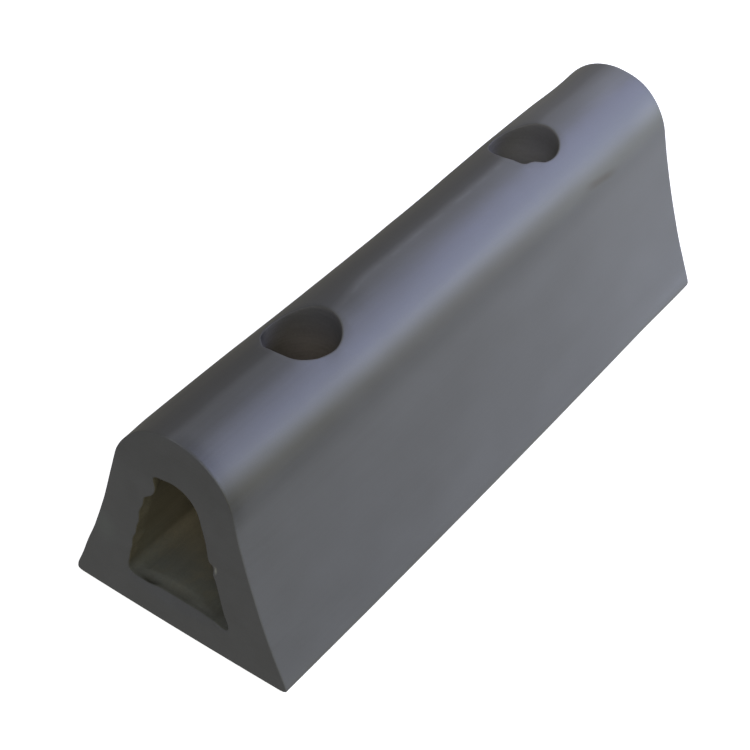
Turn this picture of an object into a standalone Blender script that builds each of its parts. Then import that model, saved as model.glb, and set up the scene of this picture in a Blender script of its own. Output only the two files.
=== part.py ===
"""Dock bumper strip: a length of extruded rubber with a flared base, a round crown and a hollow core.

Metres, +Z up. X runs along the strip, Y across it, and the origin is the middle of the base face.
"""

from math import atan2, cos, pi, radians, sin

import bmesh
import bpy

# The strip: a 12 inch length on a 4 inch base, 3 3/4 inches high.
LENGTH = 0.3048
BASE_WIDTH = 0.1016
HEIGHT = 0.09525

# The outside: a round crown that runs into two slightly hollow flanks, which flare to the base.
CROWN_RADIUS = 0.0276
CROWN_SWEEP = radians(76.8)
BASE_CORNER_RADIUS = 0.0028

# The hollow core: a round top, two straight sloping walls and a flat floor.
CORE_FLOOR = 0.0160
CORE_TOP = 0.0740
CORE_TOP_RADIUS = 0.0120
CORE_WALL_SLOPE = radians(75.6)
CORE_CORNER_RADIUS = 0.0040

# Two fixing points: a wide hole through the crown lets a socket down to the bolt hole in the floor.
FIXING_SPACING = 0.1556
ACCESS_HOLE_RADIUS = 0.0150
BOLT_HOLE_RADIUS = 0.0072

# How far a cutter reaches past the rubber that it cuts.
CUTTER_OVERRUN = 0.010

# How many straight sides stand for each round stretch.
CROWN_STEPS = 40
FLANK_STEPS = 10
BASE_CORNER_STEPS = 4
CORE_TOP_STEPS = 20
CORE_CORNER_STEPS = 6
ACCESS_HOLE_SIDES = 56
BOLT_HOLE_SIDES = 32

RUBBER_COLOUR = (0.060, 0.061, 0.064, 1.0)
RUBBER_ROUGHNESS = 0.62


def clear_scene():
    """Remove every object that the file opened with."""
    for leftover in list(bpy.data.objects):
        bpy.data.objects.remove(leftover)


def arc(centre, radius, start, end, steps):
    """Points (y, z) on an arc, both ends included."""
    angles = [start + (end - start) * step / steps for step in range(steps + 1)]
    return [(centre[0] + radius * cos(a), centre[1] + radius * sin(a)) for a in angles]


def outer_half():
    """The right half of the outside, from the crown's top down to the rounded base corner."""
    crown_centre = (0.0, HEIGHT - CROWN_RADIUS)
    outward = (sin(CROWN_SWEEP), cos(CROWN_SWEEP))
    join = (CROWN_RADIUS * outward[0], crown_centre[1] + CROWN_RADIUS * outward[1])

    # The rounded corner rests on the base, and its outermost point sets the base's width.
    corner_centre = (BASE_WIDTH / 2 - BASE_CORNER_RADIUS, BASE_CORNER_RADIUS)

    # The flank is an arc that leaves the crown at a tangent and meets the corner at a tangent.
    to_corner = (corner_centre[0] - join[0], corner_centre[1] - join[1])
    reach = to_corner[0] ** 2 + to_corner[1] ** 2
    lean = to_corner[0] * outward[0] + to_corner[1] * outward[1]
    flank_radius = (reach - BASE_CORNER_RADIUS**2) / (2 * (lean + BASE_CORNER_RADIUS))
    flank_centre = (join[0] + flank_radius * outward[0], join[1] + flank_radius * outward[1])
    corner_start = atan2(flank_centre[1] - corner_centre[1], flank_centre[0] - corner_centre[0])

    crown = arc(crown_centre, CROWN_RADIUS, pi / 2, pi / 2 - CROWN_SWEEP, CROWN_STEPS // 2)
    flank = arc(
        flank_centre, flank_radius, 1.5 * pi - CROWN_SWEEP, pi + corner_start, FLANK_STEPS
    )
    corner_top = arc(corner_centre, BASE_CORNER_RADIUS, corner_start, 0.0, 1)
    corner_foot = arc(corner_centre, BASE_CORNER_RADIUS, 0.0, -pi / 2, BASE_CORNER_STEPS)
    return crown[:-1] + flank[:-1] + corner_top[:-1] + corner_foot


def core_half():
    """The right half of the hollow core, from its top down to its rounded lower corner."""
    top_centre = (0.0, CORE_TOP - CORE_TOP_RADIUS)
    wall_normal = pi / 2 - CORE_WALL_SLOPE
    top = arc(top_centre, CORE_TOP_RADIUS, pi / 2, wall_normal, CORE_TOP_STEPS // 2)

    # The corner's centre lies its own radius above the floor and inside the sloping wall.
    corner_z = CORE_FLOOR + CORE_CORNER_RADIUS
    inset = CORE_TOP_RADIUS - CORE_CORNER_RADIUS
    corner_y = (inset + (top_centre[1] - corner_z) * sin(wall_normal)) / cos(wall_normal)
    corner = arc(
        (corner_y, corner_z), CORE_CORNER_RADIUS, wall_normal, -pi / 2, CORE_CORNER_STEPS
    )
    return top + corner


def closed_outline(half):
    """The whole outline from its right half, whose first point alone lies on the middle plane."""
    return half + [(-y, z) for y, z in reversed(half[1:])]


def prism(name, outline, length):
    """A straight bar along X with this outline in the YZ plane, centred on X = 0."""
    mesh = bpy.data.meshes.new(name)
    shape = bmesh.new()
    end = shape.faces.new([shape.verts.new((-length / 2, y, z)) for y, z in outline])
    extruded = bmesh.ops.extrude_face_region(shape, geom=[end])
    moved = [item for item in extruded["geom"] if isinstance(item, bmesh.types.BMVert)]
    bmesh.ops.translate(shape, verts=moved, vec=(length, 0.0, 0.0))
    bmesh.ops.recalc_face_normals(shape, faces=shape.faces[:])
    shape.to_mesh(mesh)
    shape.free()
    return placed(name, mesh)


def drill(name, radius, sides, bottom, top):
    """An upright round cutter that reaches from one height to the other."""
    mesh = bpy.data.meshes.new(name)
    shape = bmesh.new()
    bmesh.ops.create_cone(
        shape, cap_ends=True, segments=sides, radius1=radius, radius2=radius, depth=top - bottom
    )
    shape.to_mesh(mesh)
    shape.free()
    cutter = placed(name, mesh)
    cutter.location.z = (bottom + top) / 2
    return cutter


def placed(name, mesh):
    """A new object for this mesh, linked into the scene."""
    thing = bpy.data.objects.new(name, mesh)
    bpy.context.scene.collection.objects.link(thing)
    return thing


def cut(body, cutter):
    """Take the cutter's shape out of the body, and keep the cutter as a wire helper."""
    cutter.hide_render = True
    cutter.display_type = "WIRE"
    modifier = body.modifiers.new("cut_" + cutter.name, "BOOLEAN")
    modifier.operation = "DIFFERENCE"
    modifier.solver = "EXACT"
    modifier.object = cutter


def rubber():
    """Dark grey rubber with a dull sheen."""
    material = bpy.data.materials.new("rubber")
    material.use_nodes = True
    shader = material.node_tree.nodes["Principled BSDF"]
    shader.inputs["Base Color"].default_value = RUBBER_COLOUR
    shader.inputs["Roughness"].default_value = RUBBER_ROUGHNESS
    shader.inputs["Metallic"].default_value = 0.0
    return material


def build_strip():
    """The one solid: the bar with its core, access holes and bolt holes cut out."""
    strip = prism("bumper_strip", closed_outline(outer_half()), LENGTH)
    strip.data.materials.append(rubber())
    cut(strip, prism("core_cutter", closed_outline(core_half()), LENGTH + 2 * CUTTER_OVERRUN))

    core_middle = (CORE_FLOOR + CORE_TOP) / 2
    for number, side in enumerate((-1, 1), start=1):
        access = drill(
            f"access_cutter_{number}",
            ACCESS_HOLE_RADIUS,
            ACCESS_HOLE_SIDES,
            core_middle,
            HEIGHT + CUTTER_OVERRUN,
        )
        bolt = drill(
            f"bolt_cutter_{number}",
            BOLT_HOLE_RADIUS,
            BOLT_HOLE_SIDES,
            -CUTTER_OVERRUN,
            core_middle,
        )
        for cutter in (access, bolt):
            cutter.location.x = side * FIXING_SPACING / 2
            cut(strip, cutter)

    strip.data.shade_smooth()
    strip.data.set_sharp_from_angle(angle=radians(30))
    return strip


clear_scene()
build_strip()
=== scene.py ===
"""A length of hollow rubber dock bumper strip, dressed for the studio.

The strip is one piece of dark grey rubber. It has a flared base, a round crown and a hollow core
that is open at both ends. Two wide holes go down through the crown, over the bolt holes in the
core's floor. Lengths are in metres. X runs along the strip, Y across it, and Z up from the base.
As the camera sees it, the near end is at -X, the left at +Y and the right at -Y.
"""

import logging
from abc import ABC, abstractmethod
from collections.abc import Callable, Iterable
from dataclasses import dataclass, field
from enum import Enum
from math import atan2, cos, pi, radians, sin
from typing import TypeVar

import bmesh
import bpy
from mathutils import Matrix, Quaternion, Vector, noise

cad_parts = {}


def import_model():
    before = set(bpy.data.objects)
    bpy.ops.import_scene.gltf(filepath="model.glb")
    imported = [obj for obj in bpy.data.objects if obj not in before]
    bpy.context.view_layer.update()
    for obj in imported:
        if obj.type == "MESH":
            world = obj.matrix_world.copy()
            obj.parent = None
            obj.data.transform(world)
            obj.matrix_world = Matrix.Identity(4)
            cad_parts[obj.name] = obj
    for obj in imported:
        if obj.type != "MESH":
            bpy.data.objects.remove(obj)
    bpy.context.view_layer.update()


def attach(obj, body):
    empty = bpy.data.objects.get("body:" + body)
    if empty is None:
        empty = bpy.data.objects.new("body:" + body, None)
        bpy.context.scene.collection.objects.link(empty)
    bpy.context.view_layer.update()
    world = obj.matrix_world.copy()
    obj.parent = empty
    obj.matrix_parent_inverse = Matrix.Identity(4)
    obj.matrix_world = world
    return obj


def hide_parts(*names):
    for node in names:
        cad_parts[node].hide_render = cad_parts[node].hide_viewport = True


LOG = logging.getLogger("bumper_strip")
MM = 0.001

# How often the search for a place on an outline halves its span.
HALVINGS = 40

# Where the near and the far end lie along the strip, in millimetres.
NEAR, FAR = -152.4, 152.4

# A grain so long, in millimetres, that a noise doesn't change along that axis.
ENDLESS = 9999.0

# A place, a direction or three sizes, along, across and up.
Triple = tuple[float, float, float]
Colour = tuple[float, float, float]


# Outlines of the section


@dataclass(frozen=True)
class Arc:
    """A round stretch of an outline, in the YZ plane.

    Attributes:
        centre: The arc's centre, across and up.
        radius: The arc's radius.
        start: The angle at which it starts, from the across axis.
        end: The angle at which it ends.
        cells: How many cells of the skin lie along it.
    """

    centre: tuple[float, float]
    radius: float
    start: float
    end: float
    cells: int

    def at(self, share: float) -> tuple[float, float]:
        """The point this share of the way along, across and up."""
        angle = self.start + (self.end - self.start) * share
        return self.centre[0] + self.radius * cos(angle), self.centre[1] + self.radius * sin(angle)


@dataclass(frozen=True)
class Straight:
    """A straight stretch of an outline, in the YZ plane.

    Attributes:
        start: Where it starts, across and up.
        end: Where it ends.
        cells: How many cells of the skin lie along it.
    """

    start: tuple[float, float]
    end: tuple[float, float]
    cells: int

    def at(self, share: float) -> tuple[float, float]:
        """The point this share of the way along, across and up."""
        return (
            self.start[0] + (self.end[0] - self.start[0]) * share,
            self.start[1] + (self.end[1] - self.start[1]) * share,
        )


@dataclass(frozen=True)
class Outline:
    """A closed outline, the same on both sides, whose right half runs from its top to its foot.

    A place on it is a number of cells from the top, positive on the right (-Y) and negative on
    the left (+Y). The foot is as many cells away on either side.

    Attributes:
        half: The stretches of the right half, in order.
        shift: How far to the left the whole outline lies.
    """

    half: tuple[Arc | Straight, ...]
    shift: float = 0.0

    @property
    def half_cells(self) -> int:
        """How many cells lie between the top and the foot."""
        return sum(stretch.cells for stretch in self.half)

    def at(self, place: float) -> tuple[float, float]:
        """The point at a place on the outline.

        Args:
            place: Cells from the top. It may run past the foot.

        Returns:
            The point, as (y, z).
        """
        whole = 2 * self.half_cells
        place = (place + self.half_cells) % whole - self.half_cells
        left = abs(place)
        side = -1.0 if place >= 0 else 1.0
        for stretch in self.half:
            if left <= stretch.cells:
                break
            left -= stretch.cells
        across, up = stretch.at(min(left / stretch.cells, 1.0))
        return side * across + self.shift, up

    def place_above(self, y: float) -> float:
        """The place on the upper part of the outline that lies this far across.

        Args:
            y: Distance across the strip, less than half the outline's width.

        Returns:
            The place, in cells from the top.
        """
        side = -1.0 if y > self.shift else 1.0
        low, high = 0.0, float(self.half_cells - self.half[-1].cells - self.half[-2].cells)
        for _ in range(HALVINGS):
            middle = (low + high) / 2
            if abs(self.at(side * middle)[0] - self.shift) < abs(y - self.shift):
                low = middle
            else:
                high = middle
        return side * low

    def place_on_foot(self, y: float) -> float:
        """The place on the flat foot that lies this far across, in cells from the top."""
        foot = self.half[-1]
        return self.half_cells + (y - self.shift) / foot.start[0] * foot.cells


@dataclass(frozen=True)
class Section:
    """The strip's cross-section, as sizes.

    Attributes:
        base_width: Width over the rounded base corners.
        height: From the base to the top of the crown.
        crown_radius: Radius of the round crown.
        crown_sweep: How far the crown turns from its top to where the flank begins.
        base_corner: Radius of the base corners.
        core_floor: Height of the core's floor.
        core_top: Height of the core's top.
        core_top_radius: Radius of the core's round top.
        core_slope: Slope of the core's walls.
        core_corner: Radius of the core's lower corners.
        core_shift: How far to the left of the middle the core lies.
    """

    base_width: float = 100.5 * MM
    height: float = 95.2 * MM
    crown_radius: float = 27.6 * MM
    crown_sweep: float = radians(76.8)
    base_corner: float = 2.8 * MM
    core_floor: float = 16.0 * MM
    core_top: float = 73.9 * MM
    core_top_radius: float = 12.0 * MM
    core_slope: float = radians(75.6)
    core_corner: float = 4.0 * MM
    core_shift: float = 0.6 * MM

    def skin(self) -> Outline:
        """The outside: crown, hollow flank, base corner and base."""
        crown = (0.0, self.height - self.crown_radius)
        outward = (sin(self.crown_sweep), cos(self.crown_sweep))
        join = (self.crown_radius * outward[0], crown[1] + self.crown_radius * outward[1])
        corner = (self.base_width / 2 - self.base_corner, self.base_corner)
        to_corner = (corner[0] - join[0], corner[1] - join[1])
        reach = to_corner[0] ** 2 + to_corner[1] ** 2
        lean = to_corner[0] * outward[0] + to_corner[1] * outward[1]
        radius = (reach - self.base_corner**2) / (2 * (lean + self.base_corner))
        flank = (join[0] + radius * outward[0], join[1] + radius * outward[1])
        turn = atan2(flank[1] - corner[1], flank[0] - corner[0])
        return Outline(
            (
                Arc(crown, self.crown_radius, pi / 2, pi / 2 - self.crown_sweep, 24),
                Arc(flank, radius, 1.5 * pi - self.crown_sweep, pi + turn, 26),
                Arc(corner, self.base_corner, turn, -pi / 2, 5),
                Straight((corner[0], 0.0), (0.0, 0.0), 15),
            )
        )

    def core(self) -> Outline:
        """The hollow core: round top, straight wall, lower corner and floor."""
        top = (0.0, self.core_top - self.core_top_radius)
        normal = pi / 2 - self.core_slope
        corner_z = self.core_floor + self.core_corner
        inset = self.core_top_radius - self.core_corner
        corner = ((inset + (top[1] - corner_z) * sin(normal)) / cos(normal), corner_z)
        wall_start = (
            self.core_top_radius * cos(normal),
            top[1] + self.core_top_radius * sin(normal),
        )
        wall_end = (
            corner[0] + self.core_corner * cos(normal),
            corner_z + self.core_corner * sin(normal),
        )
        return Outline(
            (
                Arc(top, self.core_top_radius, pi / 2, normal, 14),
                Straight(wall_start, wall_end, 34),
                Arc(corner, self.core_corner, normal, -pi / 2, 6),
                Straight((corner[0], self.core_floor), (0.0, self.core_floor), 16),
            ),
            self.core_shift,
        )


# The strip's mesh

Element = TypeVar("Element")


def once_each(elements: Iterable[Element]) -> list[Element]:
    """The elements without repeats, in the order they first come: the same at every run."""
    return list(dict.fromkeys(elements))


class Zone(Enum):
    """The finishes on the strip, by their place among its materials."""

    SKIN = 0
    CUT_END = 1
    CORE = 2
    HOLE_WALL = 3


@dataclass(frozen=True)
class Fixing:
    """One fixing point: a wide hole through the crown and a bolt hole through the floor below it.

    Attributes:
        along: Where it is along the strip.
        across: How far to the left the access hole was cut.
        reach_along: Half the access hole's length along the strip.
        reach_across: Half its width across the strip.
        bolt_radius: Radius of the bolt hole.
    """

    along: float
    across: float
    reach_along: float
    reach_across: float
    bolt_radius: float = 7.2 * MM


@dataclass(frozen=True)
class Patch:
    """The cells of a skin that make room for a hole.

    Attributes:
        along: Cells on each side of the hole, along the strip.
        around: Cells on each side of the hole, around the outline.
        rings: Extra rings of edges between the hole and the cells around it.
    """

    along: int
    around: int
    rings: int


@dataclass(frozen=True)
class Lean:
    """How the real strip departs from a straight bar with square ends.

    Attributes:
        bow: How far its middle bows to the left of its ends. Below 0, it bows to the right.
        near_skew: How far the near end's cut runs in at the left, as a share of the width. The
            cut curves: how far it runs in grows with the square of the distance from the right.
        far_skew: The same for the far end's cut, which is straight and runs in at the right.
        near_reach: How far along the strip the near skew fades out.
        far_reach: How far along the strip the far skew fades out.
    """

    bow: float = -1.05 * MM
    near_skew: float = 0.0154
    far_skew: float = 0.0345
    near_reach: float = 25 * MM
    far_reach: float = 45 * MM

    def moved(self, place: Vector, length: float, width: float) -> Vector:
        """Where a point of the straight bar lies on the real one.

        Args:
            place: The point.
            length: The strip's length.
            width: The strip's width.

        Returns:
            The moved point.
        """
        share = place.x / length + 0.5
        near = max(0.0, 1 - share * length / self.near_reach)
        far = max(0.0, 1 - (1 - share) * length / self.far_reach)
        along = self.near_skew * (place.y + width / 2) ** 2 / width * near
        along -= self.far_skew * (width / 2 - place.y) * far
        across = self.bow * (4 * share * (1 - share) - 0.5)
        return Vector((place.x + along, place.y + across, place.z))


@dataclass(frozen=True)
class Mark:
    """A dent, tear or swell: a push that fades out from its middle. Its sizes are in millimetres.

    Attributes:
        middle: Where the push is strongest.
        reach: How far it reaches along, across and up.
        push: The push at the middle.
    """

    middle: Triple
    reach: Triple
    push: Triple

    def at(self, place: Vector) -> Vector:
        """The push at a point, both in metres."""
        away = sum(
            ((place[axis] / MM - self.middle[axis]) / self.reach[axis]) ** 2 for axis in range(3)
        )
        return Vector(self.push) * (MM * max(0.0, 1 - away) ** 2)


@dataclass(frozen=True)
class Waviness:
    """The slight unevenness of extruded rubber.

    Attributes:
        depth: The largest push.
        along: Length of a wave along the strip.
        around: Length of a wave across it.
        offset: Where in the noise it is taken.
    """

    depth: float
    along: float
    around: float
    offset: float

    def at(self, place: Vector) -> float:
        """The push at a point."""
        spot = Vector(
            (place.x / self.along + self.offset, place.y / self.around, place.z / self.around)
        )
        return self.depth * noise.noise(spot)


@dataclass
class RubberStrip:
    """The whole strip: its skin, core, holes and cut ends, and the marks of use on them.

    Attributes:
        section: The cross-section.
        length: Length of the strip.
        box: The low and high corners of the solids' box, which the strip stays inside.
        stations: Cells along the strip.
        fixings: The two fixing points, near end first.
        lean: Its bow and its skewed cuts.
        waves: Its coarse and its fine unevenness.
        marks: Its damage and its swells.
        access_sides: Edges around an access hole.
        bolt_sides: Edges around a bolt hole.
    """

    section: Section = field(default_factory=Section)
    length: float = 304.8 * MM
    box: tuple[Vector, Vector] = (
        Vector((NEAR, -50.79, 0.0)) * MM,
        Vector((FAR, 50.79, 95.25)) * MM,
    )
    stations: int = 120
    fixings: tuple[Fixing, ...] = (
        Fixing(-78.0 * MM, 1.5 * MM, 15.35 * MM, 13.95 * MM),
        Fixing(76.4 * MM, 2.85 * MM, 14.95 * MM, 13.95 * MM),
    )
    lean: Lean = field(default_factory=Lean)
    waves: tuple[Waviness, ...] = (
        Waviness(0.16 * MM, 70 * MM, 16 * MM, 3.0),
        Waviness(0.06 * MM, 14 * MM, 7 * MM, 11.0),
    )
    marks: tuple[Mark, ...] = (
        # The torn edge of the core at the near end, from its top down the left side.
        Mark((NEAR, 8, 71.5), (7, 5, 5), (0.3, 1.3, 0.5)),
        Mark((NEAR, 12.2, 65.6), (9, 7, 7.5), (0, -2.9, -0.5)),
        Mark((NEAR, 14.2, 58), (6, 5.5, 5), (0.3, 0.7, 0.2)),
        Mark((NEAR, 16.2, 50.5), (6, 5.5, 6), (0.4, 1.2, 0.3)),
        Mark((NEAR, 18.2, 42), (6, 4.5, 5), (0.2, 0.5, 0.2)),
        Mark((NEAR, 20, 34), (6, 4.5, 5), (0.4, 1, 0.2)),
        Mark((NEAR, 21.9, 26.5), (5, 4.5, 5), (0.4, 0.6, 0.2)),
        # Its lower corners, and the worn front edge of its floor.
        Mark((NEAR, -21.4, 18), (7, 5, 6), (0.2, -1.5, -2.2)),
        Mark((NEAR, 21, 17.5), (7, 6, 4.5), (0.5, 0.9, -1)),
        Mark((NEAR, 4, 16), (9, 20, 5.5), (2, 0, -1.7)),
        Mark((NEAR, -10, 16), (5, 9, 4), (0.8, 0, -0.6)),
        Mark((-149.5, 15, 16), (4, 4.5, 3.5), (0, 0, -1.3)),
        # The edge of its right wall, with a nick.
        Mark((NEAR, -16.5, 46), (6, 4.5, 12), (0, 0.9, 0)),
        Mark((NEAR, -17.3, 43.4), (2.8, 2.4, 3.2), (1, -0.6, 0)),
        # The worn left shoulder of the near end, and the bulges of its flank below that.
        Mark((NEAR, 21.5, 85), (13, 11, 12), (0, -0.35, -0.25)),
        Mark((NEAR, 29.8, 61.5), (14, 10, 17), (0, 0.33, 0)),
        Mark((NEAR, 43, 19.5), (14, 10, 11), (0, 0.42, 0)),
        # The slow swell of the crown's left side along the strip.
        Mark((-108, 22.7, 83.2), (46, 15, 15), (0, 0.24, 0.17)),
        Mark((-24, 22.7, 83.2), (60, 15, 15), (0, -0.14, -0.10)),
        Mark((80, 22.7, 83.2), (62, 15, 15), (0, 0.44, 0.30)),
        Mark((138, 22.7, 83.2), (28, 15, 15), (0, -0.36, -0.25)),
        # The lifted right shoulder of the far end.
        Mark((FAR, -15, 90), (24, 14, 12), (0, 0, 0.45)),
        # The base corners: sharper at the near end, and spread and worn at the far right.
        Mark((NEAR, 49.2, 0.6), (14, 3.2, 2.6), (0, 0.9, 0)),
        Mark((NEAR, -49.4, 0.6), (30, 3.2, 2.6), (0, -0.9, 0)),
        Mark((0, -49.6, 1.2), (400, 3.5, 3.5), (0, -0.15, 0)),
        Mark((150, -49, 1.5), (50, 6, 8), (0, -0.75, 0)),
        Mark((150, -50, 2), (10, 6, 8), (-1.4, 0, 0)),
        # The right flank draws in towards the near end.
        Mark((NEAR, -43, 24), (30, 30, 62), (0, 1.15, 0)),
        Mark((NEAR, -30, 66), (30, 16, 32), (0, 0.6, 0)),
        # A sag at the foot of the near hole's wall.
        Mark((-64.6, 6, 73.5), (14, 14, 10), (0, 0, -5.5)),
        # Burrs on the rims of the crown holes.
        Mark((63, -3.9, 93), (4.2, 4.2, 7), (-0.9, -1.2, 0)),
        Mark((67.8, -8, 92.5), (4.8, 4, 6), (0.6, 1.2, 0.2)),
        Mark((-91, 6.5, 93), (4.5, 5, 4), (-0.5, 0.2, -0.4)),
        Mark((-91.3, -5.5, 94), (7, 6, 6), (-0.55, -0.35, 0)),
        Mark((-81.5, -12.2, 92), (7, 5, 6), (0.15, 0.5, 0)),
    )
    access_sides: int = 104
    bolt_sides: int = 36

    # The flat sheet: the side of a cell, and the cell from the top where it begins, which keeps
    # its border clear of the holes.
    CELL = 2.5 * MM
    SHEET_START = -46
    # How far a rim stands off the sheet, so that bridging can tell which way round it goes.
    LIFT = 20 * MM
    SKIN_ACCESS = Patch(10, 16, 3)
    SKIN_BOLT = Patch(5, 4, 1)
    CORE_ACCESS = Patch(10, 36, 0)
    CORE_BOLT = Patch(5, 9, 0)
    # Vertices that meet where the sheet closes are merged within this distance.
    MERGE = 0.01 * MM
    # Rings of edges across the faces that join the two skins, by kind.
    GAP_RINGS = {"end": 7, "bolt": 5, "access": 11}
    # A border this near an end's plane is the end's, and one this near the core's floor is a
    # bolt hole's.
    END_MARGIN = 0.1 * MM
    FLOOR_MARGIN = 5 * MM
    # Cells this near the near end are split where they are longer than the limit.
    SPLIT_REACH = 8 * MM
    SPLIT_ABOVE = 1.2 * MM
    # The unevenness grows from the flat base to its full depth at this height.
    FULL_WAVES = 6 * MM

    def build(self) -> bpy.types.Object:
        """Make the strip's mesh.

        Returns:
            The finished object, at the origin, with its place in its mesh.
        """
        bm = bmesh.new()
        self._wrap_skin(bm, self.section.skin(), self.SKIN_ACCESS, self.SKIN_BOLT, Zone.SKIN)
        self._wrap_skin(bm, self.section.core(), self.CORE_ACCESS, self.CORE_BOLT, Zone.CORE)
        self._close_gaps(bm)
        bmesh.ops.recalc_face_normals(bm, faces=bm.faces[:])
        self._soften_edges(bm)
        self._refine_near_end(bm)
        self._shape_wear(bm)
        mesh = bpy.data.meshes.new("rubber_strip")
        bm.to_mesh(mesh)
        bm.free()
        mesh.shade_smooth()
        strip = bpy.data.objects.new("rubber_strip", mesh)
        bpy.context.scene.collection.objects.link(strip)
        return strip

    def _wrap_skin(
        self, bm: bmesh.types.BMesh, outline: Outline, access: Patch, bolt: Patch, zone: Zone
    ) -> None:
        """Lay out one skin as a flat sheet of cells with holes in it, then wrap it to its outline.

        Args:
            bm: The mesh it is added to.
            outline: The outline it wraps to.
            access: The room that it leaves for an access hole.
            bolt: The room that it leaves for a bolt hole.
            zone: The finish its faces take.
        """
        around = 2 * outline.half_cells
        middle = (self.SHEET_START + around / 2) * self.CELL
        older = set(bm.faces)
        sheet = bmesh.ops.create_grid(
            bm, x_segments=self.stations, y_segments=around, size=0.5
        )["verts"]
        bmesh.ops.scale(bm, verts=sheet, vec=(self.length, around * self.CELL, 1.0))
        bmesh.ops.translate(bm, verts=sheet, vec=(0.0, middle, 0.0))
        for fixing in self.fixings:
            self._leave_hole(
                bm,
                older,
                access,
                (fixing.along, 0.0),
                self.access_sides,
                lambda turn, hole=fixing: (
                    hole.along + hole.reach_along * cos(turn),
                    outline.place_above(hole.across + hole.reach_across * sin(turn)),
                ),
            )
            self._leave_hole(
                bm,
                older,
                bolt,
                (fixing.along, outline.half_cells),
                self.bolt_sides,
                lambda turn, hole=fixing: (
                    hole.along + hole.bolt_radius * cos(turn),
                    outline.place_on_foot(hole.bolt_radius * sin(turn)),
                ),
            )
        made = [face for face in bm.faces if face not in older]
        for face in made:
            face.material_index = zone.value
        wrapped = once_each(vert for face in made for vert in face.verts)
        for vert in wrapped:
            y, z = outline.at(vert.co.y / self.CELL)
            vert.co = Vector((vert.co.x, y, z))
        bmesh.ops.remove_doubles(bm, verts=wrapped, dist=self.MERGE)
        if zone is Zone.CORE:
            made = [face for face in bm.faces if face not in older]
            bmesh.ops.reverse_faces(bm, faces=made)

    def _leave_hole(
        self,
        bm: bmesh.types.BMesh,
        older: set[bmesh.types.BMFace],
        patch: Patch,
        centre: tuple[float, float],
        sides: int,
        rim: Callable[[float], tuple[float, float]],
    ) -> None:
        """Take a patch of cells out of the flat sheet and fill it up to a hole's rim.

        Args:
            bm: The mesh that holds the sheet.
            older: Faces that were there before the sheet.
            patch: The size of the patch.
            centre: Where the hole is: along the strip, and in cells around it.
            sides: Edges around the rim.
            rim: Gives a point of the rim, along and in cells around, from an angle.
        """
        step = self.length / self.stations
        middle = (round(centre[0] / step) * step, centre[1] * self.CELL)
        reach = (patch.along * step, patch.around * self.CELL)
        gone = []
        for face in bm.faces:
            if face in older:
                continue
            spot = face.calc_center_median()
            if abs(spot.x - middle[0]) < reach[0] and abs(spot.y - middle[1]) < reach[1]:
                gone.append(face)
        edges = once_each(edge for face in gone for edge in face.edges)
        border = [edge for edge in edges if sum(face in gone for face in edge.link_faces) == 1]
        bmesh.ops.delete(bm, geom=gone, context="FACES")
        ring = bmesh.ops.create_circle(bm, cap_ends=False, segments=sides, radius=1.0)["verts"]
        for vert in ring:
            along, place = rim(atan2(vert.co.y, vert.co.x))
            vert.co = Vector((along, place * self.CELL, self.LIFT))
        circle = once_each(edge for vert in ring for edge in vert.link_edges)
        bridge = bmesh.ops.bridge_loops(bm, edges=border + circle)
        if patch.rings:
            bmesh.ops.subdivide_edges(bm, edges=bridge["edges"], cuts=patch.rings)

    def _close_gaps(self, bm: bmesh.types.BMesh) -> None:
        """Join the skin to the core round the holes and at both ends.

        Args:
            bm: The mesh, with both skins in it.
        """
        limit = self.length / 2 - self.END_MARGIN
        bolt_below = self.section.core_floor + self.FLOOR_MARGIN
        groups: dict[tuple[str, bool], list[bmesh.types.BMEdge]] = {}
        for edge in bm.edges:
            if not edge.is_boundary:
                continue
            spot = (edge.verts[0].co + edge.verts[1].co) / 2
            if abs(spot.x) > limit:
                kind = "end"
            elif spot.z < bolt_below:
                kind = "bolt"
            else:
                kind = "access"
            groups.setdefault((kind, spot.x > 0), []).append(edge)
        for (kind, _), edges in sorted(groups.items(), key=lambda group: group[0]):
            older = set(bm.faces)
            zone = Zone.CUT_END if kind == "end" else Zone.HOLE_WALL
            bridge = bmesh.ops.bridge_loops(bm, edges=edges)
            bmesh.ops.subdivide_edges(bm, edges=bridge["edges"], cuts=self.GAP_RINGS[kind])
            for face in bm.faces:
                if face not in older:
                    face.material_index = zone.value

    def _soften_edges(self, bm: bmesh.types.BMesh) -> None:
        """Round the sharp edges at the ends and the holes, each by its own amount.

        Args:
            bm: The closed mesh.
        """
        # The finishes that meet at an edge, the width of its rounding and its steps.
        rounds = (
            ({Zone.SKIN, Zone.HOLE_WALL}, 1.0 * MM, 4),
            ({Zone.SKIN, Zone.CUT_END}, 0.45 * MM, 3),
            ({Zone.CORE, Zone.CUT_END}, 0.7 * MM, 3),
            ({Zone.CORE, Zone.HOLE_WALL}, 0.5 * MM, 3),
        )
        for meeting, offset, segments in rounds:
            wanted = {zone.value for zone in meeting}
            sharp = [
                edge
                for edge in bm.edges
                if {face.material_index for face in edge.link_faces} == wanted
            ]
            bmesh.ops.bevel(
                bm,
                geom=sharp,
                offset=offset,
                offset_type="OFFSET",
                affect="EDGES",
                segments=segments,
                profile=0.5,
                material=-1,
                clamp_overlap=True,
            )

    def _refine_near_end(self, bm: bmesh.types.BMesh) -> None:
        """Split the cells near the near end, which the torn edge needs.

        Args:
            bm: The strip's mesh.
        """
        limit = -self.length / 2 + self.SPLIT_REACH
        along = []
        for edge in bm.edges:
            first, second = (vert.co for vert in edge.verts)
            run = abs(first.x - second.x)
            if max(first.x, second.x) < limit and run > self.SPLIT_ABOVE:
                along.append(edge)
        bmesh.ops.subdivide_edges(bm, edges=along, cuts=2, use_grid_fill=True)

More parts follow.
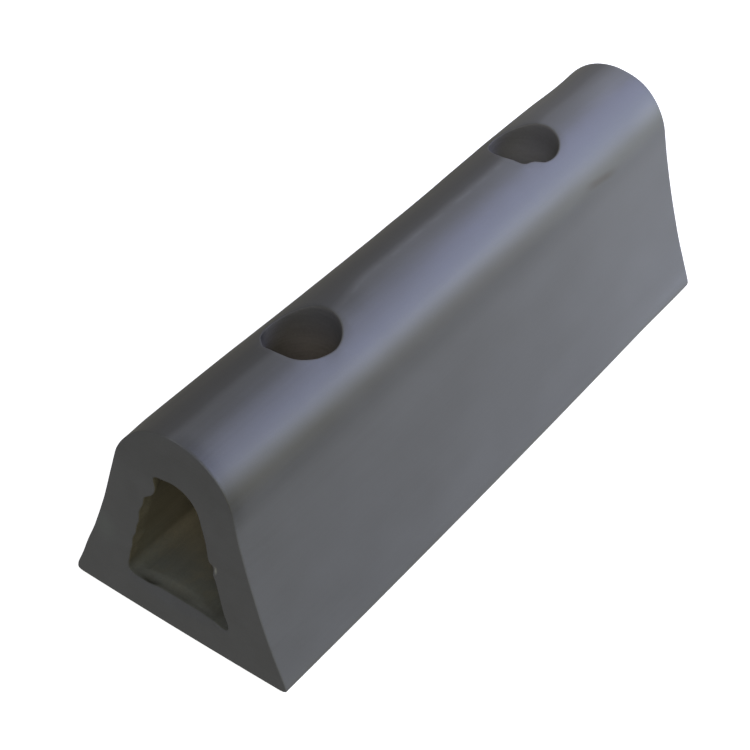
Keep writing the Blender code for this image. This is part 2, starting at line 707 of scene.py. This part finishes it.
    def _shape_wear(self, bm: bmesh.types.BMesh) -> None:
        """Give the straight strip its unevenness, marks, bow and skewed cuts.

        Args:
            bm: The strip's mesh.
        """
        bm.normal_update()
        width = self.section.base_width
        moved = []
        for vert in bm.verts:
            place = vert.co.copy()
            # The base stays flat, and the unevenness leaves the ends in their planes.
            free = min(1.0, place.z / self.FULL_WAVES)
            push = sum(wave.at(place) for wave in self.waves) * free
            across = Vector((0.0, vert.normal.y, vert.normal.z))
            place += across * push
            for mark in self.marks:
                place += mark.at(vert.co)
            moved.append(self.lean.moved(place, self.length, width))
        low, high = self.box
        for vert, place in zip(bm.verts, moved):
            vert.co = Vector(
                min(max(place[axis], low[axis]), high[axis]) for axis in range(3)
            )


# Shading


class Wire:
    """The output of a shader node, which takes part in arithmetic."""

    def __init__(self, bench: "Bench", socket: bpy.types.NodeSocket) -> None:
        """Hold one output socket and the bench that it is on."""
        self.bench = bench
        self.socket = socket

    def _maths(self, operation: str, *values: "Wire | float") -> "Wire":
        """A Math node on these values."""
        sockets = dict(enumerate(values))
        node = self.bench.node("ShaderNodeMath", {"operation": operation}, sockets)
        return Wire(self.bench, node.outputs[0])

    def __add__(self, other: "Wire | float") -> "Wire":
        """This plus other."""
        return self._maths("ADD", self, other)

    def __radd__(self, other: float) -> "Wire":
        """Other plus this."""
        return self._maths("ADD", other, self)

    def __sub__(self, other: "Wire | float") -> "Wire":
        """This minus other."""
        return self._maths("SUBTRACT", self, other)

    def __rsub__(self, other: float) -> "Wire":
        """Other minus this."""
        return self._maths("SUBTRACT", other, self)

    def __mul__(self, other: "Wire | float") -> "Wire":
        """This times other."""
        return self._maths("MULTIPLY", self, other)

    def __abs__(self) -> "Wire":
        """The size of this, without its sign."""
        return self._maths("ABSOLUTE", self)


class Bench:
    """A material under construction."""

    def __init__(self, name: str) -> None:
        """Start a material with this name, with its shader alone."""
        self.material = bpy.data.materials.new(name)
        self.material.use_nodes = True
        self.tree = self.material.node_tree
        self.shader = self.tree.nodes["Principled BSDF"]
        coordinates = self.node("ShaderNodeTexCoord", {}, {})
        metres = coordinates.outputs["Object"]
        # Patterns are laid out in millimetres.
        scaled = self.node(
            "ShaderNodeVectorMath",
            {"operation": "SCALE"},
            {"Vector": Wire(self, metres), "Scale": 1000.0},
        )
        self.place = Wire(self, scaled.outputs["Vector"])
        parts = self.node("ShaderNodeSeparateXYZ", {}, {"Vector": self.place})
        self.x, self.y, self.z = (Wire(self, parts.outputs[name]) for name in "XYZ")

    def node(
        self,
        kind: str,
        settings: dict[str, object],
        sockets: dict[str | int, "Wire | float | tuple[float, ...]"],
    ) -> bpy.types.Node:
        """Add a node.

        Args:
            kind: The node's type.
            settings: Its settings, which are set first.
            sockets: The values or wires of its inputs, by name or number.

        Returns:
            The node.
        """
        node = self.tree.nodes.new(kind)
        for name, value in settings.items():
            setattr(node, name, value)
        for name, value in sockets.items():
            if isinstance(value, Wire):
                self.tree.links.new(value.socket, node.inputs[name])
            else:
                node.inputs[name].default_value = value
        return node

    def noise(
        self, stretch: Triple, detail: float = 2.0, roughness: float = 0.5, offset: float = 0.0
    ) -> Wire:
        """Noise whose grains have these sizes along, across and up, in millimetres.

        Args:
            stretch: Sizes of a grain.
            detail: How many finer layers it has.
            roughness: How strong the finer layers are.
            offset: Where in the noise it is taken.

        Returns:
            The noise, from 0 to 1 about 0.5.
        """
        mapped = self.node(
            "ShaderNodeMapping",
            {"vector_type": "POINT"},
            {
                "Vector": self.place,
                "Location": (offset, offset, offset),
                "Scale": tuple(1 / size for size in stretch),
            },
        )
        node = self.node(
            "ShaderNodeTexNoise",
            {"noise_dimensions": "3D"},
            {
                "Vector": Wire(self, mapped.outputs["Vector"]),
                "Scale": 1.0,
                "Detail": detail,
                "Roughness": roughness,
            },
        )
        return Wire(self, node.outputs[0])

    def ease(self, value: Wire, start: float, end: float) -> Wire:
        """A smooth rise from 0 at start to 1 at end."""
        node = self.node(
            "ShaderNodeMapRange",
            {"interpolation_type": "SMOOTHSTEP"},
            {"Value": value, "From Min": start, "From Max": end},
        )
        return Wire(self, node.outputs["Result"])

    def spot(self, middle: Triple, reach: Triple) -> Wire:
        """A soft patch: 1 at its middle, and 0 from its reach outwards.

        Args:
            middle: The patch's middle, in millimetres.
            reach: Its reach along, across and up.

        Returns:
            The mask.
        """
        mapped = self.node(
            "ShaderNodeMapping",
            {"vector_type": "POINT"},
            {
                "Vector": self.place,
                "Location": tuple(-at / size for at, size in zip(middle, reach)),
                "Scale": tuple(1 / size for size in reach),
            },
        )
        distance = self.node(
            "ShaderNodeVectorMath",
            {"operation": "LENGTH"},
            {"Vector": Wire(self, mapped.outputs["Vector"])},
        )
        return self.ease(Wire(self, distance.outputs["Value"]), 1.0, 0.0)

    def mix(self, share: Wire, first: "Wire | Colour", second: "Wire | Colour") -> Wire:
        """A colour between two.

        Args:
            share: How much of the second colour there is.
            first: The colour at 0.
            second: The colour at 1.

        Returns:
            The mixed colour.
        """
        first, second = (
            value if isinstance(value, Wire) else (*value, 1.0) for value in (first, second)
        )
        node = self.node(
            "ShaderNodeMix",
            {"data_type": "RGBA", "blend_type": "MIX"},
            {0: share, 6: first, 7: second},
        )
        return Wire(self, node.outputs[2])

    def tone(self, colour: Wire, gain: Wire) -> Wire:
        """A colour made lighter or darker by a gain about 1."""
        node = self.node(
            "ShaderNodeVectorMath", {"operation": "SCALE"}, {"Vector": colour, "Scale": gain}
        )
        return Wire(self, node.outputs["Vector"])

    def finish(
        self, colour: Wire, roughness: Wire, height: Wire, depth: float, gloss: float = 0.5
    ) -> bpy.types.Material:
        """Feed the shader and hand over the material.

        Args:
            colour: The surface's colour.
            roughness: Its roughness.
            height: Its fine relief, about 0 to 1.
            depth: The relief's depth in metres.
            gloss: The strength of its reflections.

        Returns:
            The material.
        """
        self.shader.inputs["Specular IOR Level"].default_value = gloss
        bump = self.node(
            "ShaderNodeBump", {}, {"Height": height, "Strength": 1.0, "Distance": depth}
        )
        for name, wire in (
            ("Base Color", colour),
            ("Roughness", roughness),
            ("Normal", Wire(self, bump.outputs["Normal"])),
        ):
            self.tree.links.new(wire.socket, self.shader.inputs[name])
        return self.material


class Finish(ABC):
    """A finish on the rubber."""

    @abstractmethod
    def build(self) -> bpy.types.Material:
        """Make the material."""


@dataclass(frozen=True)
class ExtrudedSkin(Finish):
    """The smooth outer skin as it left the die: dark grey with a dull sheen.

    Attributes:
        colour: Its colour.
        painted_shade: A darker colour painted on the crown left of the seam line, and on patches
            near the near hole, as painted shade.
        painted_reflection: The faint olive colour painted along the foot of the crown, as a
            painted dark reflection under the highlight.
        far_painted_reflection: The same towards the far end, where it is paler.
        streak_colour: The brown of the short streak near the far end.
        sheen: Its roughness.
    """

    colour: Colour = (0.110, 0.113, 0.121)
    painted_shade: Colour = (0.046, 0.046, 0.048)
    painted_reflection: Colour = (0.073, 0.070, 0.056)
    far_painted_reflection: Colour = (0.101, 0.102, 0.084)
    streak_colour: Colour = (0.066, 0.056, 0.043)
    sheen: float = 0.42

    def build(self) -> bpy.types.Material:
        """Make the material."""
        bench = Bench("extruded_skin")
        streaks = bench.noise((160.0, 1.6, 1.6), 2.0, 0.6)
        mottle = bench.noise((38.0, 22.0, 22.0), 3.0, 0.55, 7.0)
        grain = bench.noise((0.9, 0.7, 0.7), 2.0, 0.6, 3.0)
        near = bench.ease(bench.x, -84.0, -98.0)
        far = bench.ease(bench.x, 70.0, 106.0)
        crown = bench.ease(bench.z, 60.0, 80.0)
        # The crown's left side is painted darker, as painted shade, up to a seam that wanders
        # along the crown.
        wander = bench.noise((26.0, ENDLESS, ENDLESS), 3.0, 0.6, 4.0) - 0.5
        beside = bench.ease(bench.x, -34.0, -64.0) * (1.0 - near)
        seam = bench.y - (1.0 - near * 0.6 - beside * 3.0 + far * 3.3 + wander * 2.8)
        left = bench.ease(seam, -0.2, 3.6) * 0.62 + bench.ease(seam, 0.0, 8.0) * 0.24
        left = left * crown * (1.0 - far * 0.5)
        # Painted shade also darkens the crown's top near the near end, and a patch behind the near
        # hole.
        shade_patch = bench.ease(bench.y, -11.5, -5.0) * near * 0.3
        shade_patch = shade_patch * crown + bench.spot((-57.0, -1.5, 95.0), (19.0, 8.0, 20.0)) * 0.42
        colour = bench.mix(shade_patch, self.colour, self.painted_shade)
        colour = bench.mix(left, colour, self.painted_shade)
        # A broken pale line runs beside the seam, between the two holes: a raised die line in the
        # bump, also painted paler as a painted highlight along it.
        broken = bench.noise((11.0, ENDLESS, ENDLESS), 2.0, 0.5, 9.0)
        line = bench.ease(abs(seam + 0.2), 1.3, 0.0) * crown * bench.ease(broken, 0.4, 0.62)
        line = line * bench.ease(abs(bench.x), 68.0, 54.0)
        # Along the foot of the crown on the right, a dark olive band is painted in: a painted dark
        # reflection under the highlight.
        dust = bench.mix(bench.ease(bench.x, 10.0, 100.0), self.painted_reflection, self.far_painted_reflection)
        right = bench.ease(bench.y, 0.0, -10.0)
        foot = bench.ease(abs(bench.z - 80.6), 7.5, 0.0) * right
        colour = bench.mix(foot * (0.64 + near * 0.16), colour, dust)
        # A short brown streak crosses it there.
        brown_streak = bench.ease(abs(bench.z + bench.x * 0.107 - 88.2), 2.4, 0.2) * right
        brown_streak = brown_streak * bench.ease(abs(bench.x - 94.0), 15.0, 4.0)
        colour = bench.mix(brown_streak * 0.5, colour, self.streak_colour)
        flank = bench.ease(bench.z, 80.0, 66.0)
        rim = bench.ease(bench.x, -144.0, -151.0) * bench.ease(bench.y, 2.5, -2.5)
        top = bench.ease(abs(bench.y + 2.2), 8.0, 2.0) * bench.ease(bench.x, 90.0, 140.0)
        shades = (
            # Paler towards the far end, most of all on the flanks.
            bench.ease(bench.x, -115.0, -50.0) * 0.05,
            bench.ease(bench.x, -110.0, 130.0) * 0.29,
            flank * bench.ease(bench.x, 55.0, 105.0) * 0.15,
            # Below that band, at the foot of the crown, the colour is painted darker: more of the
            # painted dark reflection under the highlight.
            bench.ease(abs(bench.z - 74.5), 9.0, 0.0) * right * (far * 0.08 - 0.15),
            # The crown darkens towards the near end. At the worn edge of the cut it is painted
            # lighter, most on the left: painted light where the rounded edge turns from the lamps.
            bench.ease(bench.x, -136.0, -150.0) * crown * right * -0.12,
            rim * crown * -0.18,
            bench.ease(bench.x, -151.2, -152.2) * crown * (0.4 - right * 0.38),
            # Its top at the far end, and the shoulder to the right of that, are painted paler:
            # painted highlights.
            top * crown * 0.29,
            bench.spot((148.0, -21.0, 85.0), (28.0, 7.5, 7.5)) * 0.24,
            # Between the holes it is a little darker.
            bench.spot((-36.0, -7.0, 94.0), (36.0, 9.0, 20.0)) * -0.09,
            # The foot of the flanks, the line beside the seam and the fine unevenness.
            bench.ease(bench.z, 9.0, 2.0) * 0.08,
            line * 0.16,
            (mottle - 0.5) * 0.22,
            (streaks - 0.5) * 0.11,
            (grain - 0.5) * 0.08,
        )
        colour = bench.tone(colour, sum(shades, 0.89))
        roughness = self.sheen + (mottle - 0.5) * 0.18 + (streaks - 0.5) * 0.10
        roughness = roughness + left * 0.14 + foot * 0.10
        height = streaks * 0.5 + grain * 0.35 + line * 0.4
        return bench.finish(colour, roughness, height, 0.05 * MM)


@dataclass(frozen=True)
class SawnFace(Finish):
    """The ends, where a saw has cut through the rubber: matt, with fine marks across.

    Attributes:
        colour: Its colour.
        pale: The colour of the chalky patch.
        nick_highlight: The pale colour painted on the nick in the edge of the core, as a painted
            highlight.
        matt: Its roughness.
    """

    colour: Colour = (0.070, 0.070, 0.071)
    pale: Colour = (0.085, 0.092, 0.088)
    nick_highlight: Colour = (0.300, 0.300, 0.250)
    matt: float = 0.72

    def build(self) -> bpy.types.Material:
        """Make the material."""
        bench = Bench("sawn_face")
        marks = bench.noise((6.0, 60.0, 0.8), 2.0, 0.6, 5.0)
        mottle = bench.noise((9.0, 9.0, 9.0), 3.0, 0.6, 2.0)
        grain = bench.noise((0.6, 0.6, 0.6), 2.0, 0.6, 9.0)
        patch = bench.spot((-151.5, 34.9, 33.1), (12.0, 9.0, 11.0)) * 0.7
        colour = bench.mix(patch, self.colour, self.pale)
        # The nick in the edge of the core is painted pale, as a painted highlight.
        nick = bench.spot((-152.0, -17.4, 43.2), (3.0, 1.3, 2.6))
        colour = bench.mix(nick * 0.6, colour, self.nick_highlight)
        gain = 1.04 - bench.ease(bench.z, 66.0, 78.0) * 0.10
        gain = gain + bench.ease(bench.y, 18.0, 34.0) * 0.05
        gain = gain + (mottle - 0.5) * 0.35 + (marks - 0.5) * 0.15 + (grain - 0.5) * 0.15
        colour = bench.tone(colour, gain)
        roughness = self.matt + (mottle - 0.5) * 0.15 + (marks - 0.5) * 0.10
        height = marks * 0.6 + grain * 0.4
        return bench.finish(colour, roughness, height, 0.10 * MM)


@dataclass(frozen=True)
class DustyCore(Finish):
    """The hollow core, which holds olive-brown dust, most of it on the floor.

    Attributes:
        colour: Its colour in the depth, where the dust lies even, painted paler there as painted
            light.
        mouth: Its colour near the open ends.
        low_mouth: Its colour there on the floor and low on the walls.
        dust: The colour of the clumps of dust there.
        worn: The colour of the floor's worn front edge.
        stain: The colour of the dark spot on the floor at the near end.
        matt: Its roughness.
    """

    colour: Colour = (0.220, 0.190, 0.118)
    mouth: Colour = (0.083, 0.074, 0.047)
    low_mouth: Colour = (0.118, 0.116, 0.089)
    dust: Colour = (0.110, 0.114, 0.094)
    worn: Colour = (0.067, 0.070, 0.064)
    stain: Colour = (0.040, 0.040, 0.034)
    matt: float = 0.78

    def build(self) -> bpy.types.Material:
        """Make the material."""
        bench = Bench("dusty_core")
        streaks = bench.noise((90.0, 2.2, 2.2), 2.0, 0.6, 4.0)
        clumps = bench.noise((7.0, 6.0, 6.0), 4.0, 0.6, 1.0)
        grain = bench.noise((0.8, 0.8, 0.8), 2.0, 0.6, 6.0)
        floor = bench.ease(bench.z, 26.0, 14.5)
        mouth = bench.ease(abs(bench.x), 116.0, 150.0)
        low = bench.ease(bench.z, 42.0, 22.0) * bench.ease(abs(bench.x), 151.5, 140.0)
        # Deep in the core the colour is painted paler than at the open ends, as painted light.
        colour = bench.mix(mouth, self.colour, bench.mix(low, self.mouth, self.low_mouth))
        lip = bench.ease(abs(bench.x), 143.0, 151.0) * bench.ease(bench.z, 24.0, 17.0)
        dust = bench.ease(clumps + floor * 0.35, 0.58, 0.88) * mouth * (1.0 - lip * 0.8)
        colour = bench.mix(dust, colour, self.dust)
        colour = bench.mix(lip * 0.85, colour, self.worn)
        stain = bench.spot((-149.5, 15.7, 15.5), (6.0, 5.5, 4.0))
        colour = bench.mix(stain * 0.6, colour, self.stain)
        gain = 1.0 + (streaks - 0.5) * 0.3 + (grain - 0.5) * 0.25
        colour = bench.tone(colour, gain)
        roughness = self.matt + (clumps - 0.5) * 0.2
        height = streaks * 0.3 + clumps * 0.5 + grain * 0.4
        return bench.finish(colour, roughness, height, 0.18 * MM)


@dataclass(frozen=True)
class DrilledWall(Finish):
    """The walls of the holes, which a cutter has left rough.

    Attributes:
        colour: Its colour at the rims.
        painted_light_deep: Its browner colour further down in the near hole, painted paler as
            painted light.
        painted_light_far_deep: Its greyer colour further down in the far hole, painted paler as
            painted light.
        matt: Its roughness.
    """

    colour: Colour = (0.085, 0.082, 0.082)
    painted_light_deep: Colour = (0.210, 0.186, 0.170)
    painted_light_far_deep: Colour = (0.275, 0.271, 0.287)
    matt: float = 0.82

    def build(self) -> bpy.types.Material:
        """Make the material."""
        bench = Bench("drilled_wall")
        rings = bench.noise((14.0, 14.0, 0.9), 2.0, 0.6, 8.0)
        grain = bench.noise((0.9, 0.9, 0.9), 2.0, 0.6, 2.0)
        depth = bench.ease(bench.z, 91.0, 66.0)
        far = bench.ease(bench.x, 0.0, 40.0)
        # Further down, the walls are painted paler, as painted light.
        colour = bench.mix(depth, self.colour, bench.mix(far, self.painted_light_deep, self.painted_light_far_deep))
        # Painted shade darkens the walls at the left tips of both holes.
        tip_shade = bench.spot((-88.0, 13.8, 91.0), (10.0, 6.0, 8.0)) * 0.65
        tip_shade = tip_shade + bench.spot((66.8, 14.8, 90.5), (9.0, 5.0, 8.0)) * 0.6
        # The far hole's walls are painted paler, as painted light. The walls at the far end of
        # each hole are paler too.
        gain = (1.0 + far * 0.28) * (1.0 - tip_shade)
        gain = gain + bench.ease(bench.x, -73.0, -64.0) * (1.0 - far) * 0.10
        gain = gain + bench.ease(bench.x, 80.0, 90.0) * 0.24
        gain = gain + (rings - 0.5) * 0.35 + (grain - 0.5) * 0.25
        colour = bench.tone(colour, gain)
        roughness = self.matt + (rings - 0.5) * 0.2
        height = rings * 0.6 + grain * 0.4
        return bench.finish(colour, roughness, height, 0.15 * MM, gloss=0.12)


FINISHES: dict[Zone, Finish] = {
    Zone.SKIN: ExtrudedSkin(),
    Zone.CUT_END: SawnFace(),
    Zone.CORE: DustyCore(),
    Zone.HOLE_WALL: DrilledWall(),
}


# Studio


@dataclass(frozen=True)
class Viewpoint:
    """The camera, where the photograph was taken from.

    Attributes:
        place: Where it stands.
        right: The direction to the right of the picture.
        up: The direction to the top of the picture.
        lens: Focal length, in millimetres on a 36 mm wide sensor.
    """

    place: Triple = (-512.02 * MM, -317.39 * MM, 536.99 * MM)
    right: Triple = (0.57723, -0.81567, 0.03865)
    up: Triple = (0.51525, 0.40053, 0.75769)
    lens: float = 92.612

    def build(self) -> None:
        """Make the camera and look through it."""
        data = bpy.data.cameras.new("viewpoint")
        data.sensor_width = 36.0
        data.lens = self.lens
        data.clip_start = 0.01
        camera = bpy.data.objects.new("viewpoint", data)
        right, up = Vector(self.right), Vector(self.up)
        back = right.cross(up)
        turn = Matrix((right, up, back)).transposed().to_4x4()
        camera.matrix_world = Matrix.Translation(self.place) @ turn
        bpy.context.scene.collection.objects.link(camera)
        bpy.context.scene.camera = camera


@dataclass(frozen=True)
class Softbox:
    """One soft light that points at the strip.

    Attributes:
        name: Its name.
        place: Where it stands.
        target: What it points at.
        size: Its width and height.
        power: Its power in watts.
        colour: Its colour.
        roll: How far it is turned about the way it points.
    """

    name: str
    place: Triple
    target: Triple
    size: tuple[float, float]
    power: float
    colour: Colour = (1.0, 1.0, 1.0)
    roll: float = 0.0

    def build(self) -> None:
        """Make the light."""
        data = bpy.data.lights.new(self.name, "AREA")
        data.shape = "RECTANGLE"
        data.size, data.size_y = self.size
        data.energy = self.power
        data.color = self.colour
        lamp = bpy.data.objects.new(self.name, data)
        lamp.location = self.place
        aim = Vector(self.target) - Vector(self.place)
        turn = aim.to_track_quat("-Z", "Y") @ Quaternion((0.0, 0.0, 1.0), self.roll)
        lamp.rotation_euler = turn.to_euler()
        bpy.context.scene.collection.objects.link(lamp)


@dataclass
class Studio:
    """The floor, the light from all around and the lights.

    Attributes:
        floor_size: Side of the square floor.
        floor_colour: Its pale colour.
        floor_glow: Light that the floor gives off, which keeps it pale where no lamp reaches.
        surround: Colour and brightness of the light from all around.
    """

    floor_size: float = 12.0
    floor_colour: tuple[float, float, float, float] = (0.86, 0.86, 0.86, 1.0)
    floor_glow: float = 0.85
    surround: Colour = (0.421, 0.406, 0.347)
    lights: tuple[Softbox, ...] = (
        Softbox(
            "window",
            (1.28, -0.74, 1.26),
            (0.0, 0.0, 0.05),
            (1.9, 0.7),
            18.8,
            (0.47, 0.53, 1.0),
            radians(12),
        ),
        Softbox(
            "lamp", (0.50, -0.60, 0.28), (0.05, 0.0, 0.05), (0.4, 0.3), 1.32, (1.0, 0.98, 0.92)
        ),
        Softbox("side", (0.0, -1.8, 0.8), (0.0, 0.0, 0.05), (2.4, 1.4), 7.6, (0.95, 1.0, 0.74)),
        Softbox("front", (-1.9, 0.2, 0.6), (0.0, 0.0, 0.05), (1.8, 1.2), 5.1, (0.30, 0.47, 1.0)),
        Softbox("far", (1.5, -1.1, 0.6), (0.0, 0.0, 0.05), (1.4, 1.0), 9.6, (0.46, 0.62, 1.0)),
        Softbox("facing", (-0.92, -0.57, 0.92), (0.0, 0.0, 0.04), (0.5, 0.5), 3.0),
    )

    def build(self) -> None:
        """Make the studio round the strip."""
        bm = bmesh.new()
        bmesh.ops.create_grid(bm, x_segments=1, y_segments=1, size=self.floor_size / 2)
        mesh = bpy.data.meshes.new("studio_floor")
        bm.to_mesh(mesh)
        bm.free()
        floor = bpy.data.objects.new("studio_floor", mesh)
        bpy.context.scene.collection.objects.link(floor)
        material = bpy.data.materials.new("studio_floor")
        material.use_nodes = True
        shader = material.node_tree.nodes["Principled BSDF"]
        shader.inputs["Base Color"].default_value = self.floor_colour
        shader.inputs["Roughness"].default_value = 0.9
        shader.inputs["Emission Color"].default_value = self.floor_colour
        shader.inputs["Emission Strength"].default_value = self.floor_glow
        mesh.materials.append(material)
        floor.visible_glossy = False
        floor.visible_diffuse = False
        world = bpy.data.worlds.new("surround")
        world.use_nodes = True
        background = world.node_tree.nodes["Background"]
        background.inputs["Color"].default_value = (*self.surround, 1.0)
        background.inputs["Strength"].default_value = 1.0
        bpy.context.scene.world = world
        bpy.context.scene.view_settings.view_transform = "Standard"
        for light in self.lights:
            light.build()


def main() -> None:
    """Build the strip and the studio, and log the strip's count of faces."""
    logging.basicConfig(level=logging.INFO, format="%(name)s: %(message)s")
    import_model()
    strip = RubberStrip().build()
    for zone in Zone:
        strip.data.materials.append(FINISHES[zone].build())
    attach(strip, "root")
    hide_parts("bumper_strip")
    LOG.info("%s: %d faces", strip.name, len(strip.data.polygons))
    Studio().build()
    Viewpoint().build()


if __name__ == "__main__":
    main()
